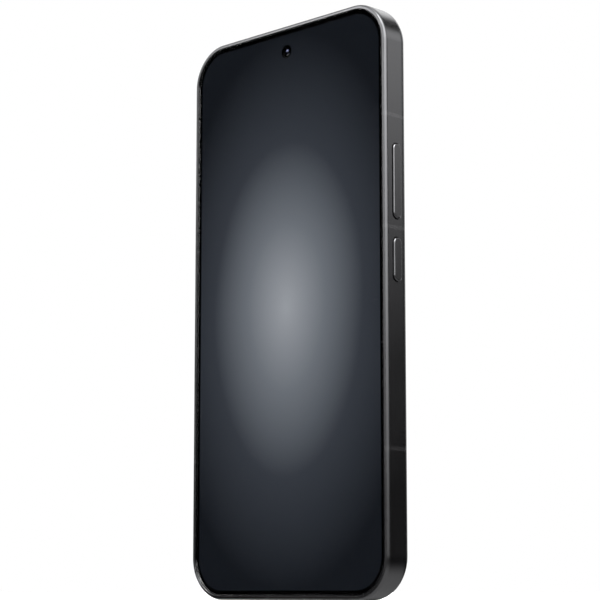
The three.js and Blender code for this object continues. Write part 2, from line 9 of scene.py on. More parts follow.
import bmesh
import bpy
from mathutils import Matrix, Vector

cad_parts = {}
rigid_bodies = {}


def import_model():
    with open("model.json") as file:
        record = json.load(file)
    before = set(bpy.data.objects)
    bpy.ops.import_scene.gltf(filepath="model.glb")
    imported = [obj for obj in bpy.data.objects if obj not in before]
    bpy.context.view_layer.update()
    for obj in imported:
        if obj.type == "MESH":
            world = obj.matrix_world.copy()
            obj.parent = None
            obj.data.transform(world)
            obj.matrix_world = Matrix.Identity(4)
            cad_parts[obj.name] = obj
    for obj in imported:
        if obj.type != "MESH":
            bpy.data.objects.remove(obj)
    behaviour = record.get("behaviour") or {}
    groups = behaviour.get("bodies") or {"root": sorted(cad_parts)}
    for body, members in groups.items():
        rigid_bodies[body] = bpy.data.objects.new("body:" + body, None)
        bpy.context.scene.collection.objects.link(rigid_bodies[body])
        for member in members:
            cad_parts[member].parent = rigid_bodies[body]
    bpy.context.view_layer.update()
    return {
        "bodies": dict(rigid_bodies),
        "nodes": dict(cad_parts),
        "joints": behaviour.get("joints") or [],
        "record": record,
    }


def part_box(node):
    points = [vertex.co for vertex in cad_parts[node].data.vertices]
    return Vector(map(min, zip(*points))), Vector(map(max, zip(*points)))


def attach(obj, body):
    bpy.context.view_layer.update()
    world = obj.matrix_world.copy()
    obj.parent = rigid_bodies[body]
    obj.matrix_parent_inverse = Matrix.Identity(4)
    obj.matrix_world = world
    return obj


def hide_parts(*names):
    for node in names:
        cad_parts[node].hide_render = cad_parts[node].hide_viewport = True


MM = 0.001

# ---------- driving dimensions, as in the CAD model ----------
WIDTH = 71.2
HEIGHT = 152.3
THICKNESS = 8.0
BUMP = 2.2
FRONT = -(THICKNESS + BUMP) / 2
HALF_W = WIDTH / 2
CORNER = 11.0
CORNER_STEPS = 26

GLASS_INSET = 1.34
GLASS_T = 0.6
GLASS_EDGE_R = 0.04
GASKET_INSET, GASKET_STEP = 1.08, 0.3
PANEL_INSET = 2.14
INK_INSET = 2.46
PANEL_D0, PANEL_D1 = 0.65, 1.3
RIM_IN = 2.4
SEAT_D = 0.7
PLATE_D0, PLATE_D1 = 1.75, 2.4
EDGE_INSET, EDGE_DEPTH = 0.36, 1.15
LIP_FALL = 0.05
BACK_INSET, BACK_D0, BACK_LEDGE_D = 0.95, 7.2, 7.15
BACK_EDGE_INSET, BACK_EDGE_DEPTH = 0.85, 1.9

BAND_W = 1.0
BANDS_RIGHT = (121.8, 92.9, 37.2)
BANDS_LEFT = (121.8, 37.2)
BANDS_TOP = (-21.7, 21.7)
BANDS_BOTTOM = (-6.6, 6.6)

SIDE_D = 4.1
KEY_W = 2.8
KEY_PROUD = 0.45
KEY_THICK = 1.7
KEY_EDGE = 0.27
KEY_GAP = 0.17
KEYS = {"volume_key": (104.8, 19.2), "power_key": (84.7, 11.0)}
PLUNGER_L, PLUNGER_W, PLUNGER_TIP = 3.0, 1.6, 33.0

CAM_X = 19.6
CAM_Z = {"wide": 136.6, "tele": 122.2, "ultrawide": 107.8}
DECK_W, DECK_H, DECK_Z, DECK_PROUD = 22.6, 46.6, 122.2, 1.6
RING_OUT, RING_IN, WINDOW_R = 6.4, 5.0, 4.9
FLASH_X, FLASH_Z, FLASH_R = 2.6, 136.6, 2.6
FRONT_CAM_Z, FRONT_CAM_R = 145.2, 1.85

USB_W, USB_T, USB_L = 8.94, 3.2, 7.6
SIM_Z, SIM_D, SIM_W, SIM_T = 112.0, 4.75, 11.6, 1.9
SIM_GAP = 0.08
SLOT_W, SLOT_T = 26.0, 0.3
GLOW_Z, GLOW_W, GLOW_H = 76.15, 46.0, 74.0

# ---------- camera, in metres and degrees ----------
CAMERA_PLACE = (0.3375, -0.3416, 0.0020)
CAMERA_YAW, CAMERA_PITCH = 44.62, 7.95
CAMERA_LENS, CAMERA_SHIFT = 110.41, 0.059

# ---------- meshes, made in millimetres ----------


def new_object(name, verts, faces):
    mesh = bpy.data.meshes.new(name)
    mesh.from_pydata(verts, [], faces)
    work = bmesh.new()
    work.from_mesh(mesh)
    bmesh.ops.recalc_face_normals(work, faces=work.faces)
    work.to_mesh(mesh)
    work.free()
    obj = bpy.data.objects.new(name, mesh)
    bpy.context.scene.collection.objects.link(obj)
    return obj


def loft(name, loops, closed=False):
    """A skin through loops of equal length, capped at both ends or closed on itself."""
    count = len(loops[0])
    verts = [point for loop in loops for point in loop]
    faces = []
    for j in range(len(loops) if closed else len(loops) - 1):
        a = j * count
        b = (j + 1) % len(loops) * count
        for i in range(count):
            k = (i + 1) % count
            faces.append((a + i, a + k, b + k, b + i))
    if not closed:
        faces.append(tuple(range(count)))
        faces.append(tuple(range((len(loops) - 1) * count, len(loops) * count)))
    return new_object(name, verts, faces)


def rounded(cx, cy, w, h, r, steps=CORNER_STEPS):
    """Points round a rectangle with round corners."""
    points = []
    ax, ay = w / 2 - r, h / 2 - r
    for quarter, (sx, sy) in enumerate(((1, 1), (-1, 1), (-1, -1), (1, -1))):
        for i in range(steps + 1):
            angle = (quarter + i / steps) * math.pi / 2
            points.append((cx + sx * ax + r * math.cos(angle), cy + sy * ay + r * math.sin(angle)))
    return points


def body_loop(inset, depth):
    outline = rounded(0, HEIGHT / 2, WIDTH - 2 * inset, HEIGHT - 2 * inset, CORNER - inset)
    return [(x, FRONT + depth, z) for x, z in outline]


def facing_front(points, depth):
    return [(x, FRONT + depth, z) for x, z in points]


def facing_side(points, x):
    return [(x, FRONT + depth, z) for depth, z in points]


def facing_end(points, z):
    return [(x, FRONT + depth, z) for x, depth in points]


def cuboid(name, x0, x1, d0, d1, z0, z1):
    base = [(x0, z0), (x1, z0), (x1, z1), (x0, z1)]
    return loft(name, [facing_front(base, d0), facing_front(base, d1)])


def turned(name, x, z, profile, sides=64):
    """A turned piece on a front-to-back axis; the profile's ends may lie on the axis."""
    verts, rings = [], []
    for radius, depth in profile:
        if radius < 1e-6:
            rings.append([len(verts)])
            verts.append((x, FRONT + depth, z))
            continue
        rings.append(list(range(len(verts), len(verts) + sides)))
        for i in range(sides):
            angle = i / sides * math.tau
            verts.append((x + radius * math.cos(angle), FRONT + depth, z + radius * math.sin(angle)))
    faces = []
    closed = len(rings[0]) > 1
    for j in range(len(rings) if closed else len(rings) - 1):
        a, b = rings[j], rings[(j + 1) % len(rings)]
        for i in range(sides):
            k = (i + 1) % sides
            quad = [a[i % len(a)], a[k % len(a)], b[k % len(b)], b[i % len(b)]]
            faces.append(tuple(dict.fromkeys(quad)))
    return new_object(name, verts, faces)


def arc(cx, cy, rx, ry, start, end, steps):
    """Points on part of an ellipse, angles in degrees."""
    points = []
    for i in range(steps + 1):
        angle = math.radians(start + (end - start) * i / steps)
        points.append((cx + rx * math.cos(angle), cy + ry * math.sin(angle)))
    return points


def settle(obj):
    """Turns the object's modifiers into its own mesh."""
    graph = bpy.context.evaluated_depsgraph_get()
    made = bpy.data.meshes.new_from_object(obj.evaluated_get(graph))
    obj.modifiers.clear()
    obj.data = made


def join(objs):
    """One object that holds the meshes of several."""
    work = bmesh.new()
    for obj in objs:
        work.from_mesh(obj.data)
    mesh = bpy.data.meshes.new(objs[0].name)
    work.to_mesh(mesh)
    work.free()
    objs[0].data = mesh
    for obj in objs[1:]:
        bpy.data.objects.remove(obj)
    return objs[0]


def boolean(obj, others, operation="DIFFERENCE"):
    cutter = join(others)
    modifier = obj.modifiers.new("cut", "BOOLEAN")
    modifier.operation = operation
    modifier.solver = "EXACT"
    modifier.object = cutter
    settle(obj)
    bpy.data.objects.remove(cutter)
    return obj


def shade(obj, angle=32):
    """Smooth shading that keeps flat faces flat and edges above the angle sharp."""
    for polygon in obj.data.polygons:
        polygon.use_smooth = True
    obj.data.set_sharp_from_angle(angle=math.radians(angle))
    modifier = obj.modifiers.new("normals", "WEIGHTED_NORMAL")
    modifier.keep_sharp = True
    modifier.weight = 80
    settle(obj)


def piece(obj, body, material, slot, *nodes):
    """Scales a finished mesh to metres, dresses it and joins it to its body."""
    shade(obj)
    for vertex in obj.data.vertices:
        vertex.co *= MM
    obj.data.materials.clear()
    obj.data.materials.append(material)
    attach(obj, body)
    if nodes:
        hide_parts(*nodes)
    return obj


# ---------- material building blocks ----------


def linear(r, g, b):
    """Linear colour from the usual 0 to 255 display values."""
    channels = []
    for value in (r, g, b):
        c = value / 255
        channels.append(c / 12.92 if c <= 0.04045 else ((c + 0.055) / 1.055) ** 2.4)
    return (*channels, 1.0)


class Nodes:
    """Short names for building one material's node tree."""

    def __init__(self, name):
        self.material = bpy.data.materials.new(name)
        self.material.use_nodes = True
        self.tree = self.material.node_tree
        self.shader = self.tree.nodes["Principled BSDF"]
        self.place = self.new("ShaderNodeTexCoord").outputs["Object"]

    def new(self, kind, **settings):
        node = self.tree.nodes.new(kind)
        for key, value in settings.items():
            setattr(node, key, value)
        return node

    def feed(self, socket, value):
        if isinstance(value, bpy.types.NodeSocket):
            self.tree.links.new(value, socket)
        else:
            socket.default_value = value

    def set(self, **values):
        for key, value in values.items():
            self.feed(self.shader.inputs[key.replace("_", " ")], value)

    def math(self, operation, *values):
        node = self.new("ShaderNodeMath", operation=operation)
        for socket, value in zip(node.inputs, values):
            self.feed(socket, value)
        return node.outputs[0]

    def smooth(self, value, low, high):
        """0 below low, 1 above high, and smooth between."""
        node = self.new("ShaderNodeMapRange", interpolation_type="SMOOTHSTEP")
        self.feed(node.inputs["Value"], value)
        self.feed(node.inputs["From Min"], low)
        self.feed(node.inputs["From Max"], high)
        return node.outputs["Result"]

    def mix(self, factor, a, b):
        node = self.new("ShaderNodeMix", data_type="RGBA")
        for name, value in (("Factor", factor), ("A", a), ("B", b)):
            wanted = "VALUE" if name == "Factor" else "RGBA"
            socket = next(s for s in node.inputs if s.name == name and s.type == wanted)
            self.feed(socket, value)
        return next(s for s in node.outputs if s.type == "RGBA")

    def ramp(self, factor, *stops):
        node = self.new("ShaderNodeValToRGB")
        elements = node.color_ramp.elements
        while len(elements) < len(stops):
            elements.new(0.5)
        for element, (position, colour) in zip(elements, stops):
            element.position = position
            element.color = colour
        self.feed(node.inputs["Fac"], factor)
        return node.outputs["Color"]

    def scaled(self, x=1.0, y=1.0, z=1.0):
        node = self.new("ShaderNodeMapping")
        node.inputs["Scale"].default_value = (x, y, z)
        self.feed(node.inputs["Vector"], self.place)
        return node.outputs["Vector"]

    def noise(self, scale, detail=3.0, vector=None):
        node = self.new("ShaderNodeTexNoise")
        node.inputs["Scale"].default_value = scale
        node.inputs["Detail"].default_value = detail
        self.feed(node.inputs["Vector"], vector or self.place)
        return node.outputs["Fac"]

    def between(self, factor, low, high):
        """Spreads a 0 to 1 pattern over a range."""
        node = self.new("ShaderNodeMapRange")
        node.inputs["To Min"].default_value = low
        node.inputs["To Max"].default_value = high
        self.feed(node.inputs["Value"], factor)
        return node.outputs["Result"]

    def bump(self, height, strength, distance):
        node = self.new("ShaderNodeBump")
        node.inputs["Strength"].default_value = strength
        node.inputs["Distance"].default_value = distance * MM
        self.feed(node.inputs["Height"], height)
        self.set(Normal=node.outputs["Normal"])

    def axes(self):
        """x, depth direction and z in millimetres."""
        node = self.new("ShaderNodeSeparateXYZ")
        self.feed(node.inputs[0], self.place)
        return [self.math("MULTIPLY", node.outputs[i], 1000.0) for i in range(3)]


def anodised(name, dark, light, roughness):
    """Bead-blasted anodised aluminium: fine grain, faint handling marks in the gloss."""
    n = Nodes(name)
    cloud = n.noise(55, 2.0)
    grain = n.noise(5200, 1.0)
    n.set(Base_Color=n.mix(n.between(cloud, 0.25, 0.75), dark, light), Metallic=1.0)
    marks = n.math("ADD", n.between(cloud, -0.035, 0.035), n.between(grain, -0.02, 0.02))
    n.set(Roughness=n.math("ADD", marks, roughness))
    n.bump(grain, 0.08, 0.01)
    return n.material


def filled_plastic(name, dark, light):
    """Glass-filled band plastic, tumbled and tinted with the metal round it."""
    n = Nodes(name)
    grain = n.noise(3000, 3.0)
    cloud = n.noise(90, 2.0)
    n.set(Base_Color=n.mix(cloud, dark, light), Metallic=0.97)
    n.set(Roughness=n.between(grain, 0.21, 0.29))
    n.bump(grain, 0.08, 0.01)
    return n.material


def polymer(name, colour, roughness, speck=0.15):
    """Moulded plastic with a fine spark-eroded texture."""
    n = Nodes(name)
    grain = n.noise(3800, 2.0)
    cloud = n.noise(120, 2.0)
    shadow = tuple(c * (1 - speck) for c in colour[:3]) + (1.0,)
    n.set(Base_Color=n.mix(cloud, shadow, colour))
    n.set(Roughness=n.between(grain, roughness - 0.06, roughness + 0.06))
    n.bump(grain, 0.15, 0.015)
    return n.material


def clear_glass(name):
    """Coated clear glass with the faintest film of handling."""
    n = Nodes(name)
    film = n.noise(35, 3.0)
    n.set(Base_Color=n.mix(film, (1, 1, 1, 1), (0.985, 0.985, 0.985, 1)))
    n.set(Roughness=n.between(film, 0.0, 0.02))
    n.set(Transmission_Weight=1.0, IOR=1.45)
    return n.material


def ink(name):
    """Black print under the glass, and the gasket and baffles that match it."""
    n = Nodes(name)
    grain = n.noise(900, 2.0)
    n.set(Base_Color=n.mix(grain, (0.0012, 0.0012, 0.0014, 1), (0.0024, 0.0024, 0.0028, 1)))
    n.set(Roughness=n.between(grain, 0.08, 0.16), Specular_IOR_Level=0.03)
    return n.material


# ---------- the picture on the display ----------


def wallpaper(name):
    """The lit picture: a plain oval glow, pale in the middle, fading into dark slate."""
    n = Nodes(name)
    x, _, z = n.axes()
    across = n.math("DIVIDE", x, GLOW_W)
    up = n.math("DIVIDE", n.math("SUBTRACT", z, GLOW_Z), GLOW_H)
    squares = n.math("ADD", n.math("MULTIPLY", across, across), n.math("MULTIPLY", up, up))
    haze = n.noise(17, 1.0)
    away = n.math("ADD", n.math("SQRT", squares), n.between(haze, -0.04, 0.04))
    picture = n.ramp(
        away,
        (0.0, linear(148, 152, 158)),
        (0.3, linear(104, 109, 116)),
        (0.6, linear(52, 56, 63)),
        (1.0, linear(19, 22, 27)),
    )
    n.set(Base_Color=(0.002, 0.002, 0.002, 1), Roughness=n.between(haze, 0.06, 0.1))
    n.set(Emission_Color=picture, Emission_Strength=1.1, Specular_IOR_Level=0.03)
    return n.material


# ---------- frame and antenna bands ----------


def rim_section():
    """The side wall's section as (inset, depth) points, from the glass seat round the outside."""
    inner = GLASS_INSET - 0.06
    section = [(inner, SEAT_D), (inner, GASKET_STEP), (GASKET_INSET, GASKET_STEP)]
    section += [(GASKET_INSET, 0.04), (GASKET_INSET - 0.04, 0.0)]
    section += [(EDGE_INSET + 0.15, LIP_FALL), (EDGE_INSET + 0.11, 0.12), (EDGE_INSET + 0.04, 0.12)]
    turn = 2 * math.atan(EDGE_INSET / EDGE_DEPTH)
    radius = EDGE_DEPTH / math.sin(turn)
    for i in range(11):
        angle = turn * (1 - i / 10) * 0.96
        section.append((radius * (1 - math.cos(angle)), EDGE_DEPTH - radius * math.sin(angle)))
    section += arc(BACK_EDGE_INSET, THICKNESS - 0.1 - BACK_EDGE_DEPTH,
                   BACK_EDGE_INSET, BACK_EDGE_DEPTH, 180, 90, 12)
    section += [(BACK_INSET - 0.05, BACK_LEDGE_D), (RIM_IN, BACK_LEDGE_D), (RIM_IN, PLATE_D1)]
    section += [(PANEL_INSET - 0.1, PLATE_D1), (PANEL_INSET - 0.1, SEAT_D)]
    return section


def pocket(name, points_at, start, end, flare_from, flare):
    """A cutter that widens where it leaves the wall, which leaves a fine chamfer."""
    return loft(name, [points_at(start, 0.0), points_at(flare_from, 0.0), points_at(end, flare)])


def key_pocket(z, length):
    def points_at(x, extra):
        w = KEY_W + 2 * (KEY_GAP + extra)
        h = length + 2 * (KEY_GAP + extra)
        return facing_side(rounded(SIDE_D, z, w, h, w / 2 - 0.001, 14), x)
    return pocket("key_pocket", points_at, 33.85, HALF_W + 0.4, HALF_W - 0.14, 0.54)


def end_slot(x, w, t, z_inner, z_outer, flare_z, flare):
    """A stadium-shaped cutter through the top or bottom wall."""
    def points_at(z, extra):
        r = t / 2 + extra - 0.001
        return facing_end(rounded(x, SIDE_D, w + 2 * extra, t + 2 * extra, r, 12), z)
    return pocket("end_slot", points_at, z_inner, z_outer, flare_z, flare)


def sim_pocket():
    def points_at(x, extra):
        w = SIM_T + 2 * (SIM_GAP + extra)
        h = SIM_W + 2 * (SIM_GAP + extra)
        return facing_side(rounded(SIM_D, SIM_Z, w, h, w / 2 - 0.001, 12), x)
    return pocket("sim_pocket", points_at, -32.5, -HALF_W - 0.4, -HALF_W + 0.1, 0.5)


def speaker_places():
    return [11.5 + i * 2.6 for i in range(6)]


def band_cutters():
    """Boxes that cut the frame's wall where the antenna bands go."""
    half = BAND_W / 2
    boxes = []
    for sign, heights in ((1, BANDS_RIGHT), (-1, BANDS_LEFT)):
        x = sign * (HALF_W - RIM_IN / 2)
        boxes += [cuboid("gap", x - 2, x + 2, -1, 9, z - half, z + half) for z in heights]
    for z, places in ((HEIGHT - RIM_IN / 2, BANDS_TOP), (RIM_IN / 2, BANDS_BOTTOM)):
        boxes += [cuboid("gap", x - half, x + half, -1, 9, z - 2, z + 2) for x in places]
    return boxes


def earpiece_cutter():
    """The slot between the glass and the top lip."""
    top = HEIGHT - GLASS_INSET
    outline = rounded(0, top - 0.2 + SLOT_T / 2, SLOT_W, SLOT_T + 0.4, 0.28, 8)
    return loft("slot", [facing_front(outline, -1.0), facing_front(outline, 0.62)])


def make_frame(metal, plastic):
    section = rim_section()
    frame = loft("frame_shell", [body_loop(inset, depth) for inset, depth in section], closed=True)
    cutters = [key_pocket(*KEYS["volume_key"]), key_pocket(*KEYS["power_key"]), sim_pocket()]
    cutters.append(end_slot(0, USB_W + 0.3, USB_T + 0.3, 3.2, -0.4, 0.16, 0.56))
    for x in speaker_places():
        cutters.append(end_slot(x, 1.7, 1.1, 3.2, -0.4, 0.1, 0.5))
    cutters.append(end_slot(-12.0, 1.2, 1.2, 3.2, -0.4, 0.08, 0.48))
    cutters.append(end_slot(8.0, 1.0, 1.0, HEIGHT - 3.2, HEIGHT + 0.4, HEIGHT - 0.08, 0.48))
    cutters.append(earpiece_cutter())
    cutters += band_cutters()
    boolean(frame, cutters)
    piece(frame, "chassis", metal, "frame", "mid_frame")
    make_middle_plate(metal)
    make_bands(section, plastic)


def make_middle_plate(metal):
    plate = loft("frame_plate", [body_loop(PANEL_INSET, PLATE_D0), body_loop(PANEL_INSET, PLATE_D1)])
    windows = [
        cuboid("w", -3.4, 3.4, 1, 3, FRONT_CAM_Z - 3.4, FRONT_CAM_Z + 3.4),
        cuboid("w", -17.6, -5.6, 1, 3, 142.8, 148.6),
        cuboid("w", -8.6, 8.6, 1, 3, 22.4, 25.2),
    ]
    boolean(plate, windows)
    piece(plate, "chassis", metal, "frame")


def make_bands(section, plastic):
    half = BAND_W / 2 - 0.01

    def strip(name, point_at):
        loops = [[point_at(inset, depth, end) for inset, depth in section] for end in (-half, half)]
        piece(loft(f"{name}_fill", loops), "chassis", plastic, "band", name)

    for side, sign, heights in (("right", 1, BANDS_RIGHT), ("left", -1, BANDS_LEFT)):
        for i, z in enumerate(heights, 1):
            strip(f"antenna_band_{side}_{i}", lambda inset, depth, end, sign=sign, z=z: (
                sign * (HALF_W - inset), FRONT + depth, z + end))
    for side, base, sign, places in (("top", HEIGHT, -1, BANDS_TOP), ("bottom", 0, 1, BANDS_BOTTOM)):
        for i, x in enumerate(places, 1):
            strip(f"antenna_band_{side}_{i}", lambda inset, depth, end, base=base, sign=sign, x=x: (
                x + end, FRONT + depth, base + sign * inset))


# ---------- front ----------


def make_front(looks):
    """Glass, black border with gasket, display, front camera and earpiece mesh."""
    r = GLASS_EDGE_R
    edge = [(GLASS_INSET + r - r * math.sin(a), r - r * math.cos(a))
            for a in (math.radians(15 * i) for i in range(7))]
    glass_section = edge + [(GLASS_INSET, GLASS_T - 0.05), (GLASS_INSET + 0.05, GLASS_T)]
    glass = loft("front_glass", [body_loop(inset, depth) for inset, depth in glass_section])
    piece(glass, "chassis", looks["glass"], "front_glass", "cover_glass")

    outer = GLASS_INSET - 0.055
    lip = GASKET_INSET + 0.005
    border_section = [(lip, 0.02), (GLASS_INSET - 0.005, 0.02), (GLASS_INSET - 0.005, 0.61)]
    border_section += [(INK_INSET, 0.61), (INK_INSET, 0.64), (outer, 0.64)]
    border_section += [(outer, GASKET_STEP - 0.005), (lip, GASKET_STEP - 0.005)]
    border = loft("glass_border", [body_loop(i, d) for i, d in border_section], closed=True)
    piece(border, "chassis", looks["ink"], "front_glass")

    panel = loft("display", [body_loop(PANEL_INSET, PANEL_D0), body_loop(PANEL_INSET, PANEL_D1)])
    hole = turned("hole", 0, FRONT_CAM_Z, [(0, 0), (FRONT_CAM_R, 0), (FRONT_CAM_R, 2), (0, 2)])
    boolean(panel, [hole])
    piece(panel, "chassis", looks["wallpaper"], "display", "display_panel")
    make_front_camera(looks)

    top = HEIGHT - GLASS_INSET
    strip = cuboid("earpiece_mesh", -SLOT_W / 2, SLOT_W / 2, 0.42, 0.6, top - 0.02, top + SLOT_T)
    piece(strip, "chassis", looks["mesh"], "module_plastic")


def make_front_camera(looks):
    ring = turned("punch_hole_ring", 0, FRONT_CAM_Z, [(1.62, 0.62), (1.84, 0.62), (1.84, 1.25), (1.62, 1.25)])
    piece(ring, "chassis", looks["ink"], "module_plastic")
    barrel = turned("front_camera_barrel", 0, FRONT_CAM_Z, [
        (0, 1.75), (0.5, 1.7), (0.56, 1.2), (0.74, 1.16), (0.78, 0.96), (1.1, 0.9), (1.5, 0.76),
        (1.6, 0.76), (1.62, 0.84), (1.62, 1.9), (0, 1.9),
    ])
    body = cuboid("front_camera_body", -3.1, 3.1, 1.8, 5.0, FRONT_CAM_Z - 3.1, FRONT_CAM_Z + 3.1)
    barrel = join([barrel, body])
    piece(barrel, "chassis", looks["ink"], "module_plastic", "front_camera")
    dome = turned("front_camera_lens", 0, FRONT_CAM_Z, lens_dome(0.7, 0.98, 0.3))
    piece(dome, "chassis", looks["lens_glass"], "lens")


def lens_dome(radius, depth, rise, facing=-1):
    """A domed lens element: flat behind, crowned towards the viewer."""
    crown = []
    for i in range(9):
        angle = math.radians(10 * i)
        crown.append((radius * math.sin(angle) / math.sin(math.radians(80)),
                      depth + facing * rise * (math.cos(angle) - math.cos(math.radians(80)))))
    return crown + [(radius, depth - facing * 0.1), (0, depth - facing * 0.1)]


# ---------- back ----------


def pill(w, h, depth, steps=CORNER_STEPS):
    return facing_front(rounded(CAM_X, DECK_Z, w, h, w / 2 - 0.001, steps), depth)


def make_back(looks):
    r = 0.35
    rim = [(BACK_INSET + r - r * math.sin(a), THICKNESS - r + r * math.cos(a))
           for a in (math.radians(15 * i) for i in range(7))]
    section = rim + [(BACK_INSET, BACK_D0 + 0.05), (BACK_INSET + 0.05, BACK_D0)]
    cover = loft("back_glass", [body_loop(inset, depth) for inset, depth in section])
    opening = loft("opening", [pill(DECK_W - 1.6, DECK_H - 1.6, 7), pill(DECK_W - 1.6, DECK_H - 1.6, 9)])
    flash = turned("flash", FLASH_X, FLASH_Z, [(0, 7), (FLASH_R, 7), (FLASH_R, 9), (0, 9)])
    boolean(cover, [opening, flash])
    piece(cover, "chassis", looks["back"], "back_glass", "back_cover")
    make_deck(looks)
    for name, z in CAM_Z.items():
        make_lens_group(name, z, looks)
    make_flash(looks)


def make_deck(looks):
    top = THICKNESS + DECK_PROUD
    foot = THICKNESS + 0.02
    r = 0.55
    loops = [pill(DECK_W - 1.8, DECK_H - 1.8, 6.9), pill(DECK_W - 1.8, DECK_H - 1.8, foot)]
    loops += [pill(DECK_W - 0.3, DECK_H - 0.3, foot), pill(DECK_W, DECK_H, foot + 0.15)]
    for i in range(7):
        angle = math.radians(15 * i)
        inward = 2 * r * (1 - math.cos(angle))
        loops.append(pill(DECK_W - inward, DECK_H - inward, top - r + r * math.sin(angle)))
    deck = loft("camera_plateau", loops)
    cutters = []
    for z in CAM_Z.values():
        r_bore = RING_IN + 0.45
        cutters.append(turned("bore", CAM_X, z, [(0, 6), (r_bore, 6), (r_bore, 11), (0, 11)]))
    boolean(deck, cutters)
    piece(deck, "chassis", looks["deck"], "camera_metal", "camera_deck")


def make_lens_group(name, z, looks):
    top = THICKNESS + DECK_PROUD
    ring = turned(f"{name}_bezel", CAM_X, z, [
        (RING_IN, top - 0.55), (RING_IN + 0.35, top - 0.55), (RING_IN + 0.35, top + 0.02),
        (RING_OUT - 0.04, top + 0.02), (RING_OUT, top + 0.08), (RING_OUT, top + 0.34),
        (RING_OUT - 0.08, top + 0.5), (RING_OUT - 0.26, top + 0.59), (RING_OUT - 0.42, top + 0.6),
        (RING_IN + 0.2, top + 0.6), (RING_IN + 0.06, top + 0.56), (RING_IN, top + 0.46),
    ], 96)
    piece(ring, "chassis", looks["polished"], "camera_metal", f"{name}_ring")
    window = turned(f"{name}_glass", CAM_X, z, [
        (0, top - 0.1), (WINDOW_R, top - 0.1), (WINDOW_R, top + 0.34), (WINDOW_R - 0.06, top + 0.4),
        (0, top + 0.4),
    ], 96)
    piece(window, "chassis", looks["sapphire"], "camera_window", f"{name}_window")
    mask = turned(f"{name}_mask", CAM_X, z, [
        (3.3, top - 0.2), (3.45, top - 0.14), (WINDOW_R, top - 0.14), (WINDOW_R, top - 0.26),
        (3.3, top - 0.26),
    ], 96)
    piece(mask, "chassis", looks["ink"], "camera_window")
    make_barrel(name, z, looks)


def make_barrel(name, z, looks):
    """Lens barrel with stepped baffles and a coated front element."""
    low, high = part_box(f"{name}_lens")
    d0 = low.y / MM - FRONT
    d1 = high.y / MM - FRONT
    radius = (high.x - low.x) / MM / 2
    body = f"{name}_lens" if name != "ultrawide" else "chassis"
    barrel = turned(f"{name}_barrel", CAM_X, z, [
        (0, d0), (radius, d0), (radius, d1 - 1.4), (radius * 0.82, d1 - 1.35), (radius * 0.82, d1 - 0.06),
        (radius * 0.8, d1), (radius * 0.7, d1), (radius * 0.68, d1 - 0.12), (radius * 0.6, d1 - 0.14),
        (radius * 0.58, d1 - 0.3), (radius * 0.5, d1 - 0.32), (radius * 0.48, d1 - 1.1), (0, d1 - 1.15),
    ])
    piece(barrel, body, looks["module"], "lens", f"{name}_lens")
    front = turned(f"{name}_element", CAM_X, z, lens_dome(radius * 0.56, d1 - 0.34, 0.3, 1), 64)
    piece(front, body, looks["coated"], "lens")
    inner = turned(f"{name}_iris", CAM_X, z, [
        (radius * 0.24, d1 - 0.9), (radius * 0.47, d1 - 0.62), (radius * 0.47, d1 - 0.72),
        (radius * 0.24, d1 - 1.0),
    ])
    piece(inner, body, looks["ink"], "lens")


def make_flash(looks):
    profile = [(0, 6.9), (FLASH_R - 0.1, 6.9), (FLASH_R - 0.1, 8.02), (FLASH_R - 0.2, 8.1)]
    for i in range(5):
        r = FLASH_R - 0.45 - i * 0.42
        profile += [(r, 8.16), (r - 0.08, 8.1)]
    profile.append((0, 8.18))
    window = turned("flash_diffuser", FLASH_X, FLASH_Z, profile)
    piece(window, "chassis", looks["flash"], "flash_lens", "flash_window")


# ---------- keys, tray and port ----------


def make_keys(metal):
    for name, (z, length) in KEYS.items():
        outer = HALF_W + KEY_PROUD
        inner = outer - KEY_THICK

        def at(x, shrink, z=z, length=length):
            w = KEY_W - 2 * shrink
            return facing_side(rounded(SIDE_D, z, w, length - 2 * shrink, w / 2 - 0.001, 14), x)

        loops = [at(inner, 0.0), at(outer - KEY_EDGE, 0.0)]
        loops += [at(outer - KEY_EDGE + KEY_EDGE * math.sin(a), KEY_EDGE * (1 - math.cos(a)))
                  for a in (math.radians(15 * i) for i in range(1, 7))]
        cap = loft(f"{name}_cap", loops)
        posts = [z] if name == "power_key" else [z + length * 0.3, z - length * 0.3]
        half = PLUNGER_L / 2
        plungers = [
            cuboid("post", PLUNGER_TIP, inner + 0.1, SIDE_D - PLUNGER_W / 2, SIDE_D + PLUNGER_W / 2,
                   at_z - half, at_z + half)
            for at_z in posts
        ]
        boolean(cap, plungers, "UNION")
        piece(cap, name, metal, "keys", name)


def make_sim_tray(metal):
    def at(x, shrink):
        w = SIM_T - 2 * shrink
        return facing_side(rounded(SIM_D, SIM_Z, w, SIM_W - 2 * shrink, w / 2 - 0.001, 12), x)

    face = loft("sim_tray_body", [at(-33.7, 0), at(-HALF_W + 0.1, 0), at(-HALF_W + 0.02, 0.08)])
    z0, z1 = SIM_Z - SIM_W / 2 + 0.2, SIM_Z + SIM_W / 2 - 0.2
    plate_loop = rounded(-25.6, SIM_Z, 16.4, z1 - z0, 0.8, 8)
    plate = loft("plate", [facing_front(plate_loop, SIM_D - 0.4), facing_front(plate_loop, SIM_D + 0.4)])
    boolean(face, [plate], "UNION")
    seat = rounded(-25.25, SIM_Z, 12.7, 9.0, 0.6, 6)
    through = rounded(-25.25, SIM_Z, 10.7, 7.2, 0.6, 6)
    pocket_cut = loft("pocket", [facing_front(seat, SIM_D - 0.2), facing_front(seat, SIM_D + 1)])
    boolean(face, [pocket_cut])
    window_cut = loft("window", [facing_front(through, SIM_D - 1), facing_front(through, SIM_D + 1)])
    pin = rounded(SIM_D, SIM_Z - SIM_W / 2 + 1.5, 0.9, 0.9, 0.449, 8)
    pin_cut = loft("pin", [facing_side(pin, -HALF_W - 1), facing_side(pin, -33.2)])
    boolean(face, [window_cut, pin_cut])
    piece(face, "sim_tray", metal, "keys", "sim_tray")


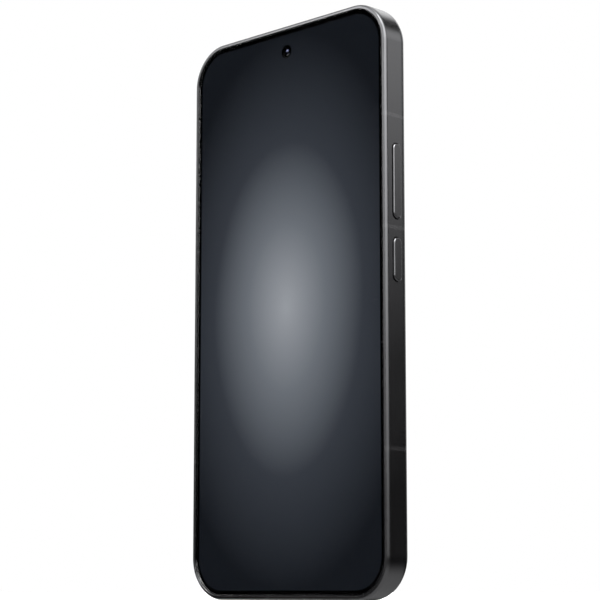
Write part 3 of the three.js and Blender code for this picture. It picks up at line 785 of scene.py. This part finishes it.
def make_port(looks):
    def at(z, grow):
        w, t = USB_W + 2 * grow, USB_T + 2 * grow
        return facing_end(rounded(0, SIDE_D, w, t, t / 2 - 0.001, 16), z)

    loops = [at(USB_L + 2.6, 0), at(0.45, 0), at(0.35, -0.1), at(0.35, -0.2), at(0.45, -0.3)]
    loops += [at(USB_L, -0.3)]
    shell = loft("port_shell", loops)
    piece(shell, "chassis", looks["steel"], "shield", "usb_shell")
    outline = [(-3.6, USB_L - 0.05), (-3.6, 6.4), (-3.35, 6.3), (-3.35, 1.7), (-3.05, 1.4)]
    outline += [(-x, z) for x, z in reversed(outline)]
    half = 0.35
    tongue = loft("port_tongue", [facing_front(outline, SIDE_D - half), facing_front(outline, SIDE_D + half)])
    root = cuboid("root", -3.6, 3.6, SIDE_D - 0.9, SIDE_D + 0.9, 6.4, USB_L - 0.05)
    boolean(tongue, [root], "UNION")
    piece(tongue, "chassis", looks["module"], "module_plastic", "usb_tongue")
    contacts = []
    for i in range(12):
        x = (i - 5.5) * 0.5
        for d0, d1 in ((SIDE_D - half - 0.03, SIDE_D - half), (SIDE_D + half, SIDE_D + half + 0.03)):
            contacts.append(cuboid("port_contacts", x - 0.12, x + 0.12, d0, d1, 1.9, 5.6))
    piece(join(contacts), "chassis", looks["gold"], "sensor")


def make_speaker_mesh(looks):
    strip = cuboid("speaker_mesh", 10.0, 26.0, SIDE_D - 1.0, SIDE_D + 1.0, 2.02, 2.2)
    piece(strip, "chassis", looks["mesh"], "module_plastic")


# ---------- looks of the inner parts ----------


def board_look(name):
    """Dark solder mask over copper: faint traces, pads and vias."""
    n = Nodes(name)
    trace = n.new("ShaderNodeTexVoronoi", feature="DISTANCE_TO_EDGE", distance="MANHATTAN")
    n.feed(trace.inputs["Vector"], n.place)
    trace.inputs["Scale"].default_value = 620
    lines = n.smooth(trace.outputs["Distance"], 0.1, 0.06)
    via = n.new("ShaderNodeTexVoronoi")
    n.feed(via.inputs["Vector"], n.place)
    via.inputs["Scale"].default_value = 900
    dots = n.smooth(via.outputs["Distance"], 0.2, 0.14)
    mask = n.mix(lines, linear(14, 24, 30), linear(24, 44, 50))
    n.set(Base_Color=n.mix(dots, mask, linear(196, 160, 92)), Metallic=dots)
    n.set(Roughness=n.between(lines, 0.34, 0.42))
    n.bump(n.math("ADD", lines, dots), 0.3, 0.02)
    return n.material


def stamped_look(name, light, dark, roughness=0.3):
    """Rolled sheet metal: directional streaks and a few pressing marks."""
    n = Nodes(name)
    streak = n.noise(900, 3.0, n.scaled(1.0, 1.0, 0.05))
    mark = n.noise(90, 2.0)
    n.set(Base_Color=n.mix(n.between(mark, 0.2, 0.8), light, dark), Metallic=1.0)
    n.set(Roughness=n.math("ADD", n.between(streak, -0.07, 0.07), roughness))
    n.bump(streak, 0.12, 0.01)
    return n.material


def pouch_look(name):
    """Battery pouch: laminated foil in dark grey with soft creases, painted darker in their hollows as shade.
    """
    n = Nodes(name)
    crease = n.noise(60, 4.0)
    fine = n.noise(1500, 2.0)
    # painted shade: the noise that raises the creases also colours their hollows darker and their ridges
    # lighter
    n.set(Base_Color=n.mix(crease, linear(46, 48, 52), linear(70, 72, 78)), Metallic=0.6)
    n.set(Roughness=n.between(fine, 0.42, 0.55))
    n.bump(n.math("ADD", crease, n.between(fine, 0.0, 0.1)), 0.25, 0.2)
    return n.material


def winding_look(name, node):
    """Copper turns wound round the middle of the node, painted darker in the grooves between turns as shade.
    """
    low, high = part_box(node)
    middle = (low + high) / 2
    n = Nodes(name)
    shift = n.new("ShaderNodeMapping")
    shift.inputs["Location"].default_value = -middle
    n.feed(shift.inputs["Vector"], n.place)
    wave = n.new("ShaderNodeTexWave", wave_type="RINGS", rings_direction="Y")
    wave.inputs["Scale"].default_value = 320
    n.feed(wave.inputs["Vector"], shift.outputs["Vector"])
    turns = wave.outputs["Fac"]
    # painted shade: the ring pattern that raises each turn colours the grooves between turns dark copper and
    # the crests light copper
    n.set(Base_Color=n.mix(turns, linear(120, 62, 36), linear(214, 138, 92)), Metallic=1.0)
    n.set(Roughness=n.between(turns, 0.4, 0.25))
    n.bump(turns, 0.6, 0.1)
    return n.material


def ribbon_look(name):
    """Polyimide ribbon with rows of copper traces under the film."""
    n = Nodes(name)
    wave = n.new("ShaderNodeTexWave", wave_type="BANDS", bands_direction="X")
    wave.inputs["Scale"].default_value = 420
    n.feed(wave.inputs["Vector"], n.place)
    lines = n.smooth(wave.outputs["Fac"], 0.5, 0.8)
    n.set(Base_Color=n.mix(lines, linear(54, 34, 16), linear(128, 80, 34)))
    n.set(Roughness=n.between(n.noise(300), 0.3, 0.45), Coat_Weight=0.3)
    n.bump(lines, 0.3, 0.02)
    return n.material


def chip_look(name):
    """Moulded package: matte black epoxy with a fine sanded grain."""
    n = Nodes(name)
    grain = n.noise(2600, 2.0)
    n.set(Base_Color=n.mix(grain, linear(20, 20, 22), linear(34, 34, 37)))
    n.set(Roughness=n.between(grain, 0.5, 0.66))
    n.bump(grain, 0.25, 0.02)
    return n.material


def led_look(name):
    """Yellow phosphor over the die."""
    n = Nodes(name)
    grain = n.noise(2200, 2.0)
    n.set(Base_Color=n.mix(grain, linear(226, 190, 70), linear(240, 214, 110)))
    n.set(Roughness=n.between(grain, 0.55, 0.7))
    n.bump(grain, 0.2, 0.03)
    return n.material


# ---------- looks of the outer parts ----------


def polished_look(name):
    """Diamond-cut, polished ring: fine turning lines."""
    n = Nodes(name)
    fine = n.noise(700, 2.0, n.scaled(0.15, 6.0, 0.15))
    n.set(Base_Color=n.mix(fine, linear(112, 113, 116), linear(140, 141, 145)), Metallic=1.0)
    n.set(Roughness=n.between(fine, 0.13, 0.2))
    n.bump(fine, 0.05, 0.005)
    return n.material


def mesh_look(name):
    """Woven acoustic mesh: dark threads with pinholes between them, the pinholes painted near-black as shade.
    """
    n = Nodes(name)
    weave = n.new("ShaderNodeTexVoronoi", feature="DISTANCE_TO_EDGE")
    n.feed(weave.inputs["Vector"], n.place)
    weave.inputs["Scale"].default_value = 4200
    weave.inputs["Randomness"].default_value = 0.0
    thread = n.smooth(weave.outputs["Distance"], 0.3, 0.1)
    # painted shade: the pinholes between the threads are coloured near-black in place of the dark space
    # behind the mesh
    n.set(Base_Color=n.mix(thread, linear(5, 5, 6), linear(46, 47, 50)))
    n.set(Roughness=n.between(thread, 0.7, 0.45))
    n.bump(thread, 0.5, 0.05)
    return n.material


def frosted_look(name):
    """Frosted back glass: satin surface over a dark ground, a slow drift in its tone."""
    n = Nodes(name)
    cloud = n.noise(18, 2.0)
    etch = n.noise(4200, 2.0)
    n.set(Base_Color=n.mix(cloud, linear(44, 46, 50), linear(52, 54, 59)))
    n.set(Roughness=n.between(etch, 0.36, 0.46), Specular_IOR_Level=0.55)
    n.set(Coat_Weight=0.25, Coat_Roughness=0.3)
    n.bump(etch, 0.06, 0.008)
    return n.material


def coated_look(name, tint):
    """Dark lens element under an anti-reflection coating."""
    n = Nodes(name)
    film = n.noise(240, 2.0)
    n.set(Base_Color=n.mix(film, (0.002, 0.002, 0.004, 1), (0.006, 0.005, 0.012, 1)))
    n.set(Roughness=n.between(film, 0.03, 0.06), Specular_IOR_Level=0.8, Specular_Tint=tint)
    n.set(Coat_Weight=1.0, Coat_Roughness=0.02, Coat_Tint=tint)
    return n.material


def flash_look(name):
    """Frosted flash diffuser with a warm tint from the phosphor behind it."""
    n = Nodes(name)
    etch = n.noise(1400, 2.0)
    n.set(Base_Color=n.mix(etch, linear(226, 222, 206), linear(240, 236, 222)))
    n.set(Roughness=n.between(etch, 0.25, 0.4), Coat_Weight=0.6)
    n.set(Subsurface_Weight=0.3)
    n.bump(etch, 0.15, 0.02)
    return n.material


def floor_look(name):
    n = Nodes(name)
    cloud = n.noise(6, 2.0)
    n.set(Base_Color=n.mix(cloud, linear(226, 226, 226), linear(232, 232, 232)))
    n.set(Roughness=n.between(cloud, 0.7, 0.8), Specular_IOR_Level=0.0)
    return n.material


def dress_frame_nodes(frame, looks):
    """Inner parts keep their CAD shape and take a look each."""
    board = board_look("circuit_board")
    chip = chip_look("chip")
    can = stamped_look("shield_can", linear(176, 176, 172), linear(150, 150, 148))
    steel = stamped_look("spring_steel", linear(160, 162, 166), linear(120, 122, 128), 0.36)
    copper = stamped_look("copper_plate", linear(206, 132, 88), linear(176, 104, 66))
    ribbon = ribbon_look("ribbon")
    chosen = {
        "fingerprint_sensor": chip, "display_flex": ribbon, "interconnect_flex": ribbon,
        "key_switch_flex": ribbon, "mainboard": board, "sub_board": board, "battery_board": board,
        "wide_sensor_board": board, "tele_sensor_board": board, "soc_package": chip,
        "shield_can_main": can, "shield_can_radio": can, "haptic_housing": can, "sim_reader": steel,
        "wide_housing": looks["module"], "tele_housing": looks["module"],
        "ultrawide_housing": looks["module"], "antenna_cover": looks["module"],
        "loudspeaker": looks["module"], "earpiece_speaker": looks["module"],
        "haptic_mass": stamped_look("tungsten", linear(112, 114, 118), linear(92, 93, 98), 0.42),
        "battery_cell": pouch_look("foil_pouch"), "vapour_chamber": copper,
        "charging_coil": winding_look("windings", "charging_coil"), "flash_led": led_look("phosphor"),
    }
    for i in range(1, 6):
        chosen[f"screw_{i}"] = steel
    for name, material in chosen.items():
        frame["nodes"][name].material_slots[0].material = material


# ---------- stage, light and camera ----------


def make_floor():
    """A wide pale floor, left out of reflections so that metal and glass mirror only the studio."""
    reach = 40000
    verts = [(-reach, -reach, 0), (reach, -reach, 0), (reach, reach, 0), (-reach, reach, 0)]
    floor = new_object("floor", verts, [(0, 1, 2, 3)])
    for vertex in floor.data.vertices:
        vertex.co *= MM
    floor.data.materials.append(floor_look("floor"))
    floor.visible_glossy = False
    floor.visible_transmission = False


class World:
    """The studio round the phone, as soft boxes of light on a dark ground."""

    def __init__(self):
        world = bpy.data.worlds.new("studio")
        bpy.context.scene.world = world
        world.use_nodes = True
        self.tree = world.node_tree
        self.tree.nodes.clear()
        place = self.tree.nodes.new("ShaderNodeTexCoord")
        self.direction = place.outputs["Generated"]
        split = self.tree.nodes.new("ShaderNodeSeparateXYZ")
        self.tree.links.new(self.direction, split.inputs[0])
        self.height = split.outputs["Z"]
        self.total = None

    def math(self, operation, *values):
        node = self.tree.nodes.new("ShaderNodeMath")
        node.operation = operation
        for socket, value in zip(node.inputs, values):
            if isinstance(value, bpy.types.NodeSocket):
                self.tree.links.new(value, socket)
            else:
                socket.default_value = value
        return node.outputs[0]

    def step(self, value, low, high, level=1.0):
        """0 below low, the level above high, and smooth between."""
        node = self.tree.nodes.new("ShaderNodeMapRange")
        node.interpolation_type = "SMOOTHSTEP"
        node.inputs["From Min"].default_value = low
        node.inputs["From Max"].default_value = high
        node.inputs["To Max"].default_value = level
        self.tree.links.new(value, node.inputs["Value"])
        return node.outputs["Result"]

    def towards(self, vector, azimuth, elevation):
        """Cosine of the angle between a direction and a place in the studio."""
        a, e = math.radians(azimuth), math.radians(elevation)
        node = self.tree.nodes.new("ShaderNodeVectorMath")
        node.operation = "DOT_PRODUCT"
        self.tree.links.new(vector, node.inputs[0])
        node.inputs[1].default_value = (
            math.cos(e) * math.cos(a), math.cos(e) * math.sin(a), math.sin(e))
        return node.outputs["Value"]

    def add(self, light):
        self.total = light if self.total is None else self.math("ADD", self.total, light)

    def spot(self, azimuth, elevation, inner, outer, level):
        """A round soft box: full out to the inner angle, gone at the outer one."""
        near = self.towards(self.direction, azimuth, elevation)
        self.add(self.step(near, math.cos(math.radians(outer)), math.cos(math.radians(inner)), level))

    def wall(self, azimuth, inner, outer, low, high, level):
        """A wide soft box that stands between azimuths and fades out towards the floor."""
        flat = self.tree.nodes.new("ShaderNodeVectorMath")
        flat.operation = "MULTIPLY"
        flat.inputs[1].default_value = (1, 1, 0)
        self.tree.links.new(self.direction, flat.inputs[0])
        unit = self.tree.nodes.new("ShaderNodeVectorMath")
        unit.operation = "NORMALIZE"
        self.tree.links.new(flat.outputs[0], unit.inputs[0])
        near = self.towards(unit.outputs[0], azimuth, 0)
        across = self.step(near, math.cos(math.radians(outer)), math.cos(math.radians(inner)))
        up = self.step(self.height, math.sin(math.radians(low)), math.sin(math.radians(high)), level)
        self.add(self.math("MULTIPLY", across, up))

    def finish(self):
        """The camera itself sees plain white behind the phone."""
        nodes, links = self.tree.nodes, self.tree.links
        studio = nodes.new("ShaderNodeBackground")
        links.new(self.total, studio.inputs["Color"])
        white = nodes.new("ShaderNodeBackground")
        white.inputs["Color"].default_value = (1, 1, 1, 1)
        path = nodes.new("ShaderNodeLightPath")
        mix = nodes.new("ShaderNodeMixShader")
        links.new(path.outputs["Is Camera Ray"], mix.inputs["Fac"])
        links.new(studio.outputs[0], mix.inputs[1])
        links.new(white.outputs[0], mix.inputs[2])
        output = nodes.new("ShaderNodeOutputWorld")
        links.new(mix.outputs[0], output.inputs["Surface"])


def make_world():
    """Azimuths run from +X towards +Y, which puts the camera near -45; all angles are degrees."""
    world = World()
    world.add(world.step(world.height, math.sin(math.radians(48)), math.sin(math.radians(75)), 0.9))
    world.add(world.step(world.height, math.sin(math.radians(-10)), math.sin(math.radians(-35)), 0.28))
    world.wall(-50, 64, 76, 0, 24, 2.7)
    world.wall(-172, 22, 29, -4, 26, 0.6)
    world.spot(48, 26, 7, 17, 0.85)
    world.spot(95, 18, 9, 26, 0.8)
    world.spot(113, 37, 10, 20, 1.4)
    world.wall(-136, 14, 34, 22, 31, 4.0)
    world.spot(172, 22, 14, 30, 0.6)
    world.finish()


def make_sun():
    """A very soft lamp overhead that keeps the floor evenly pale."""
    data = bpy.data.lights.new("overhead", "SUN")
    data.energy = 2.7
    data.angle = math.radians(50)
    sun = bpy.data.objects.new("overhead", data)
    bpy.context.scene.collection.objects.link(sun)
    sun.rotation_euler = Vector((-0.35, 0.55, -1.5)).to_track_quat("-Z", "Y").to_euler()


def make_camera():
    """Low in front of the keys' side, looking slightly up at the phone."""
    data = bpy.data.cameras.new("camera")
    data.sensor_width = 36
    data.lens = CAMERA_LENS
    data.shift_y = CAMERA_SHIFT
    data.clip_start = 0.01
    camera = bpy.data.objects.new("camera", data)
    bpy.context.scene.collection.objects.link(camera)
    camera.location = CAMERA_PLACE
    yaw, pitch = math.radians(CAMERA_YAW), math.radians(CAMERA_PITCH)
    aim = Vector((-math.sin(yaw) * math.cos(pitch), math.cos(yaw) * math.cos(pitch), math.sin(pitch)))
    camera.rotation_euler = aim.to_track_quat("-Z", "Y").to_euler()
    bpy.context.scene.camera = camera


def main():
    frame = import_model()
    bpy.context.scene.view_settings.view_transform = "Standard"
    make_camera()
    make_world()
    make_sun()
    make_floor()

    metal = anodised("anodised_frame", linear(128, 128, 130), linear(137, 137, 139), 0.25)
    looks = {
        "glass": clear_glass("cover_glass"),
        "ink": ink("black_ink"),
        "wallpaper": wallpaper("lit_display"),
        "mesh": mesh_look("acoustic_mesh"),
        "module": polymer("moulded_module", linear(20, 20, 22), 0.5),
        "lens_glass": coated_look("small_lens", (0.5, 0.6, 1.0, 1)),
        "back": frosted_look("frosted_glass"),
        "deck": anodised("anodised_deck", linear(92, 93, 97), linear(100, 101, 106), 0.34),
        "polished": polished_look("polished_ring"),
        "sapphire": clear_glass("lens_window"),
        "coated": coated_look("coated_lens", (0.55, 0.45, 1.0, 1)),
        "flash": flash_look("flash_diffuser"),
        "steel": stamped_look("port_steel", linear(168, 169, 172), linear(138, 139, 143), 0.28),
        "gold": stamped_look("gold_contact", linear(232, 190, 104), linear(206, 160, 80), 0.24),
    }
    dress_frame_nodes(frame, looks)
    make_frame(metal, filled_plastic("band_plastic", linear(136, 136, 138), linear(144, 144, 146)))
    make_front(looks)
    make_back(looks)
    make_keys(metal)
    make_sim_tray(metal)
    make_port(looks)
    make_speaker_mesh(looks)


main()
